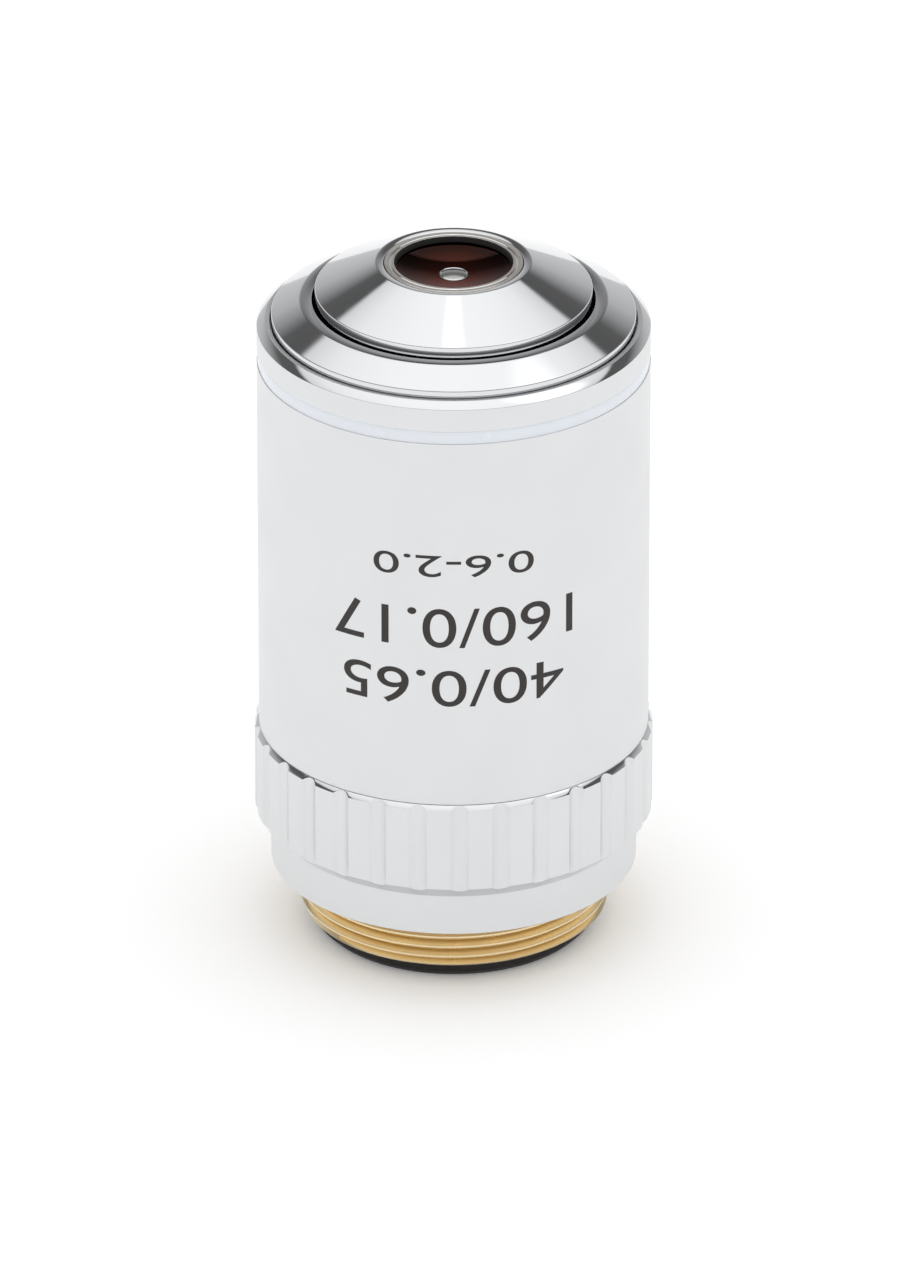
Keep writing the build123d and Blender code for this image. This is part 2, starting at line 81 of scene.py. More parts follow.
# Thread: 36 turns to the inch, with a 55 degree V
THREAD_RADIUS = 10.1
THREAD_PITCH = 25.4 / 36
THREAD_DEPTH = 0.64 * THREAD_PITCH
THREAD_CREST = THREAD_PITCH / 6
THREAD_CHAMFER = 0.35
THREAD_RUNOUT = 0.3
RELIEF_LENGTH = 0.6
RELIEF_DEPTH = 0.5
RIDGE_SINK = 0.1
RIDGE_HALF_BASE = 0.49 * THREAD_PITCH

# Mount tube
THREAD_WALL = 1.0
TUBE_WALL = 1.0
TUBE_COLLAR_WIDTH = 0.7
TUBE_COLLAR_THICKNESS = 2.7
GUIDE_BOTTOM = 3.0

# Grip flange
SHOULDER_STEP = 0.75
SHOULDER_HEIGHT = 2.85
SHOULDER_EDGE = 0.1
SHOULDER_BORE_CHAMFER = 0.3
GRIP_TOP = 9.9
GRIP_STEP = 0.28
GROOVE_COUNT = 30
GROOVE_CUTTER_RADIUS = 0.85
GROOVE_DEPTH = 0.25
GROOVE_START = radians(1.75 - 90)
GROOVE_EDGE_BREAK = 0.04
GROOVE_CORNER = radians(20)
CUTTER_SIDES = 64
CUTTER_LENGTH = 1.5 * GRIP_TOP
SPIGOT_STEP = 1.32

# Barrel, band and front ring
BARREL_WALL = 1.3
MOUTH_CHAMFER_WIDTH = 0.55
MOUTH_CHAMFER_HEIGHT = 0.38
MOUTH_LIP = 0.3
MOUTH_DEPTH = 0.77
SLEEVE_FOOT_CHAMFER = 0.05
BAND_GROOVE_DEPTH = 0.15
RING_MOUTH_GAP = 0.1
RING_BORE = 9.17
RING_CONE_WIDTH = 1.85
RING_CONE_RISE = 0.98

# Nose cone, bezel and front lens
NOSE_CONE_DROP = 1.88
NOSE_RIM_WIDTH = 0.5
NOSE_RIM_DIP = 0.06
NOSE_SKIRT_WALL = 0.76
NOSE_SEAT_DROP = 4.25
NOSE_LEDGE = 1.25
BEZEL_RADIUS = 4.48
BEZEL_SEAM = 0.06
BEZEL_BORE = 3.68
BEZEL_LIP = 0.35
BEZEL_RING_RADIUS = 4.1
BEZEL_RING_DEPTH = 0.04
BEZEL_RING_HALF_WIDTH = 0.06
BEZEL_BREAK = 0.015
FRONT_CELL_RADIUS = 6.2
FRONT_LENS_CURVES = (13.6, 5.0)
ARC_STEPS = 12
BUTTON_RADIUS = 0.88
BUTTON_RISE = 0.06
BUTTON_CURVE = 3.2
BUTTON_RIM_WIDTH = 0.09
# Distances from the axis between which the lens's colour goes from the coating's red to painted shade
# at the rim
COATING_RIM_SHADE = (0.9, 3.2)

# Rear stop ring
REAR_RING_CHAMFER = 0.45
REAR_RING_THICKNESS = 1.1
REAR_RING_WALL = 2.18
REAR_RING_TAPER = 1.1

# Return spring
SPRING_TURNS = 5
SPRING_WIRE_RADIUS = 0.45
SPRING_STEPS_PER_TURN = 72
WIRE_SIDES = 12

# Printed numbers: words, letter height, width along the barrel and height of the row's middle
PRINTED_ROWS = {
    "numbers_first_row": ("40/0.65", 2.6, 15.0, 18.4),
    "numbers_second_row": ("160/0.17", 2.8, 16.4, 22.75),
    "numbers_third_row": ("0.6-2.0", 1.55, 10.6, 27.2),
}
INK_THICKNESS = 0.012
# The letters are cut into strips of this width, so that they bend round the barrel
PRINT_STRIP = 0.4
LETTER_STEPS = 8

# Camera, worked out from the 903 x 1280 photograph
PHOTO_HEIGHT = 1280
FOCAL_PIXELS = 14774
CAMERA_DISTANCE = 0.972
CAMERA_ELEVATION = radians(27.86)
CAMERA_PITCH = radians(27.05)
CAMERA_ASIDE = -0.14 * MM
SENSOR = 36

# Materials: the values between which nearly all noise lies, and how much faster tool rings follow the
# radius than the height, so that they show on flat faces and on cones
NOISE_SPAN = (0.3, 0.7)
RING_SLANT = 1.7

# Studio: brightness of the surroundings that polished metal shows, by the height of the direction
STUDIO_LEVELS = (
    (-1.0, 0.98),
    (-0.2, 0.85),
    (0.04, 0.68),
    (0.16, 0.64),
    (0.28, 0.56),
    (0.40, 0.36),
    (0.50, 0.13),
    (0.64, 0.11),
    (0.67, 0.91),
    (0.80, 1.14),
    (0.97, 1.28),
)
# The ramp's colours stop at 1, so the levels are stored as a share of this
RAMP_TOP = 2.0
# Light on matt surfaces comes mostly from overhead: its level at the horizon, and the zenith's gain
HORIZON_LEVEL = 0.2
ZENITH_GAIN = 1.2
# Two soft lamps: where they lie, half their width, the width of their soft edge, and their gain
STRIP_LIGHT = ((0, 0.233, 0.972), radians(1), radians(3), 0.4)
SIDE_LIGHT = ((0.479, 0.076, 0.875), radians(9), radians(8), 0.5)
# The white sweep, and the light it adds to what is seen of it
SWEEP_RADIUS = 2.5
SWEEP_SIDES = 96
SWEEP_ALBEDO = 1.0
SWEEP_LIFT = 0.1


def span(node):
    """Radius, bottom and top of a CAD node, in millimetres."""
    low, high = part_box(node)
    return high[0] / MM, low[2] / MM, high[2] / MM


def turned(corners, edge=EDGE_BREAK, closed=True):
    """A mesh turned on the lathe from the (radius, height) corners of its half-section.

    A closed section gets its corners broken to this edge, and an open one is turned as it is.
    """
    mesh = bmesh.new()
    verts = [mesh.verts.new((r, 0, z)) for r, z in corners]
    if closed:
        mesh.faces.new(verts)
        if edge:
            bmesh.ops.bevel(
                mesh,
                geom=mesh.verts[:],
                offset=edge,
                offset_type="OFFSET",
                segments=BREAK_STEPS,
                profile=0.5,
                affect="VERTICES",
                material=-1,
            )
        bmesh.ops.delete(mesh, geom=mesh.faces[:], context="FACES_ONLY")
    else:
        for first, second in zip(verts, verts[1:]):
            mesh.edges.new((first, second))
    bmesh.ops.spin(
        mesh,
        geom=mesh.verts[:] + mesh.edges[:],
        cent=(0, 0, 0),
        axis=(0, 0, 1),
        angle=2 * pi,
        steps=STEPS_ROUND,
        use_merge=True,
    )
    bmesh.ops.remove_doubles(mesh, verts=mesh.verts[:], dist=MERGE_DISTANCE)
    bmesh.ops.recalc_face_normals(mesh, faces=mesh.faces[:])
    return mesh


def sagitta(curve, away):
    """How far a spherical surface of this radius has fallen away at this distance from its axis."""
    return curve - sqrt(curve**2 - away**2)


def coiled(profile, pitch, turns, steps_per_turn):
    """A closed mesh swept along a helix from the (radius, height) corners of its cross-section."""
    mesh = bmesh.new()
    steps = round(turns * steps_per_turn)
    mesh.faces.new([mesh.verts.new((r, 0, z)) for r, z in profile])
    bmesh.ops.delete(mesh, geom=mesh.faces[:], context="FACES_ONLY")
    bmesh.ops.spin(
        mesh,
        geom=mesh.verts[:] + mesh.edges[:],
        cent=(0, 0, 0),
        axis=(0, 0, 1),
        dvec=(0, 0, turns * pitch / steps),
        angle=turns * 2 * pi,
        steps=steps,
        use_merge=False,
    )
    bmesh.ops.holes_fill(mesh, edges=mesh.edges[:], sides=0)
    bmesh.ops.recalc_face_normals(mesh, faces=mesh.faces[:])
    return mesh


def set_shading(mesh):
    """Smooth faces, with the real corners kept sharp."""
    for edge in mesh.edges:
        edge.smooth = edge.calc_face_angle(0) < SHARP_ANGLE
    for face in mesh.faces:
        face.smooth = True


def polish_slopes(mesh):
    """Sloping faces take the piece's second material, as chamfers are cut after the plating."""
    for face in mesh.faces:
        if SLOPE[0] < abs(face.normal.z) < SLOPE[1]:
            face.material_index = 1


def piece(name, mesh, finishes, body, stands_for=(), even=True):
    """Makes a Blender object from a mesh in millimetres, which rides on a CAD body."""
    bmesh.ops.scale(mesh, vec=(MM, MM, MM), verts=mesh.verts[:])
    set_shading(mesh)
    data = bpy.data.meshes.new(name)
    mesh.to_mesh(data)
    mesh.free()
    for finish in finishes:
        data.materials.append(finish)
    made = bpy.data.objects.new(name, data)
    bpy.context.scene.collection.objects.link(made)
    if even:
        made.modifiers.new("even_shading", "WEIGHTED_NORMAL").keep_sharp = True
    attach(made, body)
    if stands_for:
        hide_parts(*stands_for)
    return made


def linear(code):
    """The linear colour of an sRGB hex code, with full alpha."""
    levels = [int(code[i : i + 2], 16) / 255 for i in (1, 3, 5)]
    return (*[c / 12.92 if c <= 0.04045 else ((c + 0.055) / 1.055) ** 2.4 for c in levels], 1)


def add(tree, kind, inputs=None, **settings):
    """Adds a node with its settings. Each input is a value, or the output that feeds it."""
    made = tree.nodes.new(kind)
    for key, value in settings.items():
        setattr(made, key, value)
    for key, value in (inputs or {}).items():
        if isinstance(value, bpy.types.NodeSocket):
            tree.links.new(value, made.inputs[key])
        else:
            made.inputs[key].default_value = value
    return made


def finish(name, **sockets):
    """A new material with its shader's sockets set by name, given with its nodes and its shader."""
    made = bpy.data.materials.new(name)
    made.use_nodes = True
    tree = made.node_tree
    shader = tree.nodes["Principled BSDF"]
    for socket, value in sockets.items():
        shader.inputs[socket.replace("_", " ")].default_value = value
    return made, tree, shader


def position(tree):
    """Place on the object in millimetres: the vector, its height and its distance from the axis."""
    coords = add(tree, "ShaderNodeTexCoord")
    place = add(
        tree,
        "ShaderNodeMapping",
        {"Vector": coords.outputs["Object"], "Scale": (1 / MM, 1 / MM, 1 / MM)},
    )
    parts = add(tree, "ShaderNodeSeparateXYZ", {"Vector": place.outputs["Vector"]})
    flat = add(tree, "ShaderNodeCombineXYZ", {"X": parts.outputs["X"], "Y": parts.outputs["Y"]})
    away = add(tree, "ShaderNodeVectorMath", {0: flat.outputs["Vector"]}, operation="LENGTH")
    return place.outputs["Vector"], parts.outputs["Z"], away.outputs["Value"]


def roughen(tree, shader, place, low, high, size):
    """Lets the roughness wander between two values over patches of this size in millimetres."""
    patches = add(tree, "ShaderNodeTexNoise", {"Vector": place, "Scale": 1 / size, "Detail": 3.0})
    spread = add(
        tree,
        "ShaderNodeMapRange",
        {
            "Value": patches.outputs["Fac"],
            "From Min": NOISE_SPAN[0],
            "From Max": NOISE_SPAN[1],
            "To Min": low,
            "To Max": high,
        },
    )
    tree.links.new(spread.outputs["Result"], shader.inputs["Roughness"])


def grain(tree, shader, height, depth):
    """Raises the surface by a height field, to this depth in millimetres."""
    bump = add(tree, "ShaderNodeBump", {"Height": height, "Distance": depth * MM, "Strength": 1.0})
    tree.links.new(bump.outputs["Normal"], shader.inputs["Normal"])


def lathe_lines(tree, height, away, pitch):
    """Rings left by a turning tool, as a height field that follows both height and radius."""
    along = add(tree, "ShaderNodeMath", {0: away, 1: RING_SLANT, 2: height}, operation="MULTIPLY_ADD")
    rings = add(
        tree,
        "ShaderNodeTexNoise",
        {"W": along.outputs["Value"], "Scale": 1 / pitch, "Detail": 2.0},
        noise_dimensions="1D",
    )
    return rings.outputs["Fac"]


def satin_chrome():
    """Hard chrome over bead-blasted brass: an even, pearly grey with a soft sheen."""
    made, tree, shader = finish("satin_chrome", Base_Color=linear("#dedfe0"), Metallic=1.0)
    place, _, _ = position(tree)
    roughen(tree, shader, place, low=0.36, high=0.42, size=4.0)
    # Blasting dimples are about 0.05 mm across, and are drawn at 0.12 mm to show at this size.
    dimples = add(tree, "ShaderNodeTexNoise", {"Vector": place, "Scale": 1 / 0.12, "Detail": 2.0})
    grain(tree, shader, dimples.outputs["Fac"], depth=0.0012)
    return made


def polished_chrome():
    """Hard chrome over a fine-turned and buffed cone: a mirror with the faintest tool rings."""
    made, tree, shader = finish("polished_chrome", Base_Color=linear("#dadbdd"), Metallic=1.0)
    place, height, away = position(tree)
    roughen(tree, shader, place, low=0.05, high=0.09, size=3.0)
    grain(tree, shader, lathe_lines(tree, height, away, pitch=0.1), depth=0.00015)
    return made


def warm_nickel():
    """Electroless nickel on the bezel: warmer than chrome, and dull from a light blast."""
    made, tree, shader = finish("warm_nickel", Base_Color=linear("#e0dad3"), Metallic=1.0)
    place, _, _ = position(tree)
    roughen(tree, shader, place, low=0.26, high=0.34, size=1.0)
    dimples = add(tree, "ShaderNodeTexNoise", {"Vector": place, "Scale": 1 / 0.1, "Detail": 2.0})
    grain(tree, shader, dimples.outputs["Fac"], depth=0.0008)
    return made


def ground_button():
    """The small front element: grey and silvery, with a faintly uneven polish."""
    made, tree, shader = finish("ground_button", Base_Color=linear("#b4b4b2"), Metallic=0.9)
    place, _, _ = position(tree)
    roughen(tree, shader, place, low=0.16, high=0.22, size=0.4)
    return made


def turned_brass():
    """Bare cartridge brass from the lathe: yellow, with bright and dull tool rings."""
    made, tree, shader = finish("turned_brass", Metallic=1.0)
    place, height, away = position(tree)
    rings = lathe_lines(tree, height, away, pitch=0.09)
    tone = add(tree, "ShaderNodeMix", {"Factor": rings}, data_type="RGBA")
    tone.inputs["A"].default_value = linear("#ecd4a2")
    tone.inputs["B"].default_value = linear("#fbe9c6")
    tree.links.new(tone.outputs["Result"], shader.inputs["Base Color"])
    roughen(tree, shader, place, low=0.26, high=0.34, size=1.5)
    grain(tree, shader, rings, depth=0.0003)
    return made


def black_anodised():
    """Black anodised aluminium: a matt, slightly brown black with soft highlights on its edges."""
    made, tree, shader = finish(
        "black_anodised", Base_Color=linear("#120e0c"), Specular_IOR_Level=0.4, Metallic=0.0
    )
    place, _, _ = position(tree)
    roughen(tree, shader, place, low=0.42, high=0.55, size=2.0)
    pores = add(tree, "ShaderNodeTexNoise", {"Vector": place, "Scale": 1 / 0.1, "Detail": 2.0})
    grain(tree, shader, pores.outputs["Fac"], depth=0.001)
    return made


def blackened_brass():
    """Chemically blackened brass: dull, with brown showing through in patches."""
    made, tree, shader = finish("blackened_brass", Metallic=0.6)
    place, _, _ = position(tree)
    patches = add(tree, "ShaderNodeTexNoise", {"Vector": place, "Scale": 1 / 1.2, "Detail": 4.0})
    tone = add(tree, "ShaderNodeMix", {"Factor": patches.outputs["Fac"]}, data_type="RGBA")
    tone.inputs["A"].default_value = linear("#0d0b0a")
    tone.inputs["B"].default_value = linear("#1d1814")
    tree.links.new(tone.outputs["Result"], shader.inputs["Base Color"])
    roughen(tree, shader, place, low=0.45, high=0.6, size=1.0)
    return made


def band_enamel():
    """Stoved enamel in the groove: a pale blue-white, smooth and a little glossy."""
    made, tree, shader = finish("band_enamel", IOR=1.5)
    place, _, _ = position(tree)
    clouds = add(tree, "ShaderNodeTexNoise", {"Vector": place, "Scale": 1 / 3.0, "Detail": 2.0})
    tone = add(tree, "ShaderNodeMix", {"Factor": clouds.outputs["Fac"]}, data_type="RGBA")
    tone.inputs["A"].default_value = linear("#eff5fd")
    tone.inputs["B"].default_value = linear("#f4f8fd")
    tree.links.new(tone.outputs["Result"], shader.inputs["Base Color"])
    roughen(tree, shader, place, low=0.2, high=0.28, size=2.0)
    return made


def spring_steel():
    """Drawn spring wire: bright steel with fine lines along the wire."""
    made, tree, shader = finish("spring_steel", Base_Color=linear("#b9bbbd"), Metallic=1.0)
    place, height, away = position(tree)
    roughen(tree, shader, place, low=0.2, high=0.32, size=0.8)
    grain(tree, shader, lathe_lines(tree, height, away, pitch=0.05), depth=0.0004)
    return made


def clear_glass():
    """Ground and polished optical glass, clear, with a green cast at its edges."""
    made, tree, shader = finish(
        "optical_glass", Base_Color=linear("#f0f5f1"), IOR=1.56, Transmission_Weight=1.0
    )
    place, _, _ = position(tree)
    roughen(tree, shader, place, low=0.0, high=0.02, size=2.0)
    return made


def coated_glass():
    """The front lens: polished glass, whose coating leaves only a dark red gleam, with painted shade
    darkening it towards the rim.
    """
    # The coating takes most of the reflection away, so the index is lower than the glass's own.
    # The small share of coloured metal is the dark red that it still reflects.
    made, tree, shader = finish(
        "coated_glass",
        IOR=1.2,
        Metallic=0.12,
        Transmission_Weight=1.0,
        Specular_IOR_Level=0.35,
        Specular_Tint=linear("#ffb890"),
    )
    place, _, away = position(tree)
    inner, outer = COATING_RIM_SHADE
    # The base colour darkens from the coating's red at the middle to near black at the rim: the red is
    # the coating's own, the darkening is painted shade.
    tone = add(
        tree,
        "ShaderNodeMapRange",
        {"Value": away, "From Min": inner, "From Max": outer, "To Min": 0.0, "To Max": 1.0},
    )
    tint = add(tree, "ShaderNodeMix", {"Factor": tone.outputs["Result"]}, data_type="RGBA")
    tint.inputs["A"].default_value = linear("#e2562c")
    tint.inputs["B"].default_value = linear("#4a0e06")
    tree.links.new(tint.outputs["Result"], shader.inputs["Base Color"])
    roughen(tree, shader, place, low=0.0, high=0.03, size=1.5)
    return made


def black_ink():
    """Screen-printed ink: near black, thin and slightly dull, with a barely uneven tone."""
    made, tree, shader = finish("black_ink", IOR=1.5)
    place, _, _ = position(tree)
    clouds = add(tree, "ShaderNodeTexNoise", {"Vector": place, "Scale": 1 / 0.3, "Detail": 2.0})
    tone = add(tree, "ShaderNodeMix", {"Factor": clouds.outputs["Fac"]}, data_type="RGBA")
    tone.inputs["A"].default_value = linear("#262220")
    tone.inputs["B"].default_value = linear("#322d2a")
    tree.links.new(tone.outputs["Result"], shader.inputs["Base Color"])
    roughen(tree, shader, place, low=0.45, high=0.55, size=1.0)
    return made


SATIN = satin_chrome()
POLISHED = polished_chrome()
NICKEL = warm_nickel()
BUTTON = ground_button()
BRASS = turned_brass()
BLACK = black_anodised()
SPRING_STEEL = spring_steel()
ENAMEL = band_enamel()
COATED_GLASS = coated_glass()
INK = black_ink()
FINISHES = {
    "satin_chrome": SATIN,
    "polished_chrome": POLISHED,
    "brass": BRASS,
    "blackened_brass": blackened_brass(),
    "black_anodised": BLACK,
    "enamel": ENAMEL,
    "steel": SPRING_STEEL,
    "coated_glass": COATED_GLASS,
    "optical_glass": clear_glass(),
}


def dress_cad_nodes():
    """Gives each CAD node that stays the finish of its slot in the record."""
    slots = {part["node"]: part["material_slot"] for part in frame["record"]["subparts"]}
    for name, made in frame["nodes"].items():
        made.data.materials.clear()
        made.data.materials.append(FINISHES[slots[name]])


def grooved(mesh):
    """The mesh with the grip's round-bottomed grooves cut into it."""
    reach = span("grip_flange")[0] - GROOVE_DEPTH + GROOVE_CUTTER_RADIUS
    cutters = bmesh.new()
    for i in range(GROOVE_COUNT):
        turn = GROOVE_START + i * 2 * pi / GROOVE_COUNT
        place = Matrix.Translation((reach * cos(turn), reach * sin(turn), GRIP_TOP / 2))
        bmesh.ops.create_cone(
            cutters,
            cap_ends=True,
            segments=CUTTER_SIDES,
            radius1=GROOVE_CUTTER_RADIUS,
            radius2=GROOVE_CUTTER_RADIUS,
            depth=CUTTER_LENGTH,
            matrix=place,
        )
    # The boolean works on objects, so the blank and its cutters become two for a moment.
    holders = []
    for part in (mesh, cutters):
        data = bpy.data.meshes.new("blank")
        part.to_mesh(data)
        part.free()
        holders.append(bpy.data.objects.new("blank", data))
        bpy.context.scene.collection.objects.link(holders[-1])
    blank, knives = holders
    cut = blank.modifiers.new("grooves", "BOOLEAN")
    cut.operation = "DIFFERENCE"
    cut.solver = "EXACT"
    cut.object = knives
    ready = bpy.data.meshes.new_from_object(blank.evaluated_get(bpy.context.evaluated_depsgraph_get()))
    result = bmesh.new()
    result.from_mesh(ready)
    for holder in holders:
        bpy.data.objects.remove(holder)
    return result


def grip():
    """Grip flange: seating shoulder, bevel, grooved ring and the spigot inside the barrel."""
    radius, _, top = span("grip_flange")
    barrel_radius = span("barrel_sleeve")[0]
    collar_radius, ledge, _ = span("parfocal_shim")
    counterbore = collar_radius + FIT
    bore = collar_radius - TUBE_COLLAR_WIDTH + FIT
    shoulder = barrel_radius - SHOULDER_STEP
    mesh = turned(
        [
            (bore, SHOULDER_BORE_CHAMFER),
            (bore + SHOULDER_BORE_CHAMFER, 0),
            (shoulder - SHOULDER_EDGE, 0),
            (shoulder, SHOULDER_EDGE),
            (shoulder, SHOULDER_HEIGHT),
            (radius, SHOULDER_HEIGHT + radius - shoulder),
            (radius, GRIP_TOP - GRIP_STEP),
            (barrel_radius, GRIP_TOP),
            (barrel_radius - SPIGOT_STEP, GRIP_TOP),
            (barrel_radius - SPIGOT_STEP, top),
            (counterbore, top),
            (counterbore, ledge),
            (bore, ledge),
        ],
        edge=0,
    )
    mesh = grooved(mesh)
    bmesh.ops.remove_doubles(mesh, verts=mesh.verts[:], dist=CUT_MERGE_DISTANCE)
    corners = [e for e in mesh.edges if e.calc_face_angle(0) > GROOVE_CORNER]
    bmesh.ops.bevel(
        mesh,
        geom=corners,
        offset=GROOVE_EDGE_BREAK,
        offset_type="OFFSET",
        segments=BREAK_STEPS,
        profile=0.5,
        affect="EDGES",
        clamp_overlap=True,
        material=-1,
    )
    polish_slopes(mesh)
    piece("grip_ring", mesh, (SATIN, POLISHED), "housing", ["grip_flange"])


def barrel():
    """Barrel sleeve, its enamel band and the front ring screwed into its mouth."""
    radius, bottom, top = span("barrel_sleeve")
    band_radius, band_bottom, band_top = span("code_band")
    bore = radius - BARREL_WALL
    ledge = top - MOUTH_DEPTH
    lip = radius - MOUTH_CHAMFER_WIDTH
    groove = radius - BAND_GROOVE_DEPTH
    mesh = turned(
        [
            (bore, bottom),
            (radius - SLEEVE_FOOT_CHAMFER, bottom),
            (radius, bottom + SLEEVE_FOOT_CHAMFER),
            (radius, band_bottom),
            (groove, band_bottom),
            (groove, band_top),
            (radius, band_top),
            (radius, top - MOUTH_CHAMFER_HEIGHT),
            (lip, top),
            (lip - MOUTH_LIP, top),
            (lip - MOUTH_LIP, ledge),
            (bore, ledge),
        ],
        edge=FINE_BREAK,
    )
    polish_slopes(mesh)
    piece("barrel_tube", mesh, (SATIN, POLISHED), "housing", ["barrel_sleeve"])

    mesh = turned(
        [
            (groove, band_bottom),
            (band_radius, band_bottom),
            (band_radius, band_top),
            (groove, band_top),
        ],
        edge=FINE_BREAK,
    )
    piece("enamel_band", mesh, (ENAMEL,), "housing", ["code_band"])

    _, skirt, rim = span("front_ring")
    outer = lip - MOUTH_LIP - RING_MOUTH_GAP
    mesh = turned(
        [
            (RING_BORE, skirt),
            (bore - FIT, skirt),
            (bore - FIT, ledge),
            (outer, ledge),
            (outer, rim - RING_CONE_RISE),
            (outer - RING_CONE_WIDTH, rim),
            (RING_BORE, rim),
        ]
    )
    piece("mouth_ring", mesh, (POLISHED,), "housing", ["front_ring"])


def nose():
    """Nose cone, the bezel of the front cell, and the front lens in it."""
    radius, bottom, top = span("nose_cone")
    cell_radius, cell_bottom, bezel_top = span("front_cell")
    seat = top - NOSE_SEAT_DROP
    bezel_gap = BEZEL_RADIUS + BEZEL_SEAM
    flange_gap = FRONT_CELL_RADIUS + FIT
    ledge = top - NOSE_LEDGE
    mesh = turned(
        [
            (radius - NOSE_SKIRT_WALL, bottom),
            (radius, bottom),
            (radius, top - NOSE_CONE_DROP),
            (bezel_gap + NOSE_RIM_WIDTH, top),
            (bezel_gap, top - NOSE_RIM_DIP),
            (bezel_gap, ledge),
            (flange_gap, ledge),
            (flange_gap, seat),
            (radius - NOSE_SKIRT_WALL, seat),
        ]
    )
    piece("nose_cap", mesh, (POLISHED,), "nose", ["nose_cone"])

    lens_radius, lens_rear, lens_edge = span("front_lens")
    lip_bottom = bezel_top - BEZEL_LIP
    mesh = turned(
        [
            (lens_radius + FIT, cell_bottom),
            (cell_radius, cell_bottom),
            (cell_radius, seat),
            (FRONT_CELL_RADIUS, seat),
            (FRONT_CELL_RADIUS, ledge),
            (BEZEL_RADIUS, ledge),
            (BEZEL_RADIUS, bezel_top),
            (BEZEL_RING_RADIUS + BEZEL_RING_HALF_WIDTH, bezel_top),
            (BEZEL_RING_RADIUS, bezel_top - BEZEL_RING_DEPTH),
            (BEZEL_RING_RADIUS - BEZEL_RING_HALF_WIDTH, bezel_top),
            (BEZEL_BORE + BEZEL_LIP / 2, bezel_top),
            (BEZEL_BORE, lip_bottom),
            (lens_radius + FIT, lip_bottom),
        ],
        edge=BEZEL_BREAK,
    )
    polish_slopes(mesh)
    # The slope inside the lip is blackened, so that no light comes off it into the lens.
    for face in mesh.faces:
        middle = face.calc_center_median()
        if hypot(middle.x, middle.y) < BEZEL_BORE + BEZEL_LIP / 2 and middle.z > lip_bottom:
            face.material_index = 2
    piece("bezel", mesh, (NICKEL, POLISHED, BLACK), "nose", ["front_cell"])

    front, rear = FRONT_LENS_CURVES
    front_pole = lens_edge - sagitta(front, lens_radius)
    rings = [lens_radius * i / ARC_STEPS for i in range(ARC_STEPS + 1)]
    corners = [(r, front_pole + sagitta(front, r)) for r in rings]
    corners += [(r, lens_rear + sagitta(rear, r)) for r in reversed(rings)]
    mesh = turned(corners, closed=False)
    piece("front_glass", mesh, (COATED_GLASS,), "nose", ["front_lens"], even=False)

    # The small front element shows as a bright button in a turned rim, at the bottom of the bowl.
    foot = front_pole + sagitta(front, BUTTON_RADIUS)
    dome = foot + BUTTON_RISE
    rings = [BUTTON_RADIUS * i / ARC_STEPS for i in range(ARC_STEPS + 1)]
    rise = sagitta(BUTTON_CURVE, BUTTON_RADIUS)
    corners = [(r, dome + rise - sagitta(BUTTON_CURVE, r)) for r in rings]
    corners += [
        (BUTTON_RADIUS, foot + FIT),
        (BUTTON_RADIUS + FIT, dome),
        (BUTTON_RADIUS + BUTTON_RIM_WIDTH / 2, dome + FIT),
        (BUTTON_RADIUS + BUTTON_RIM_WIDTH, dome - FIT),
        (BUTTON_RADIUS + BUTTON_RIM_WIDTH, foot + FIT / 2),
        (0, foot + FIT / 2),
    ]
    mesh = turned(corners, closed=False)
    polish_slopes(mesh)
    piece("front_button", mesh, (BUTTON, POLISHED), "nose", even=False)


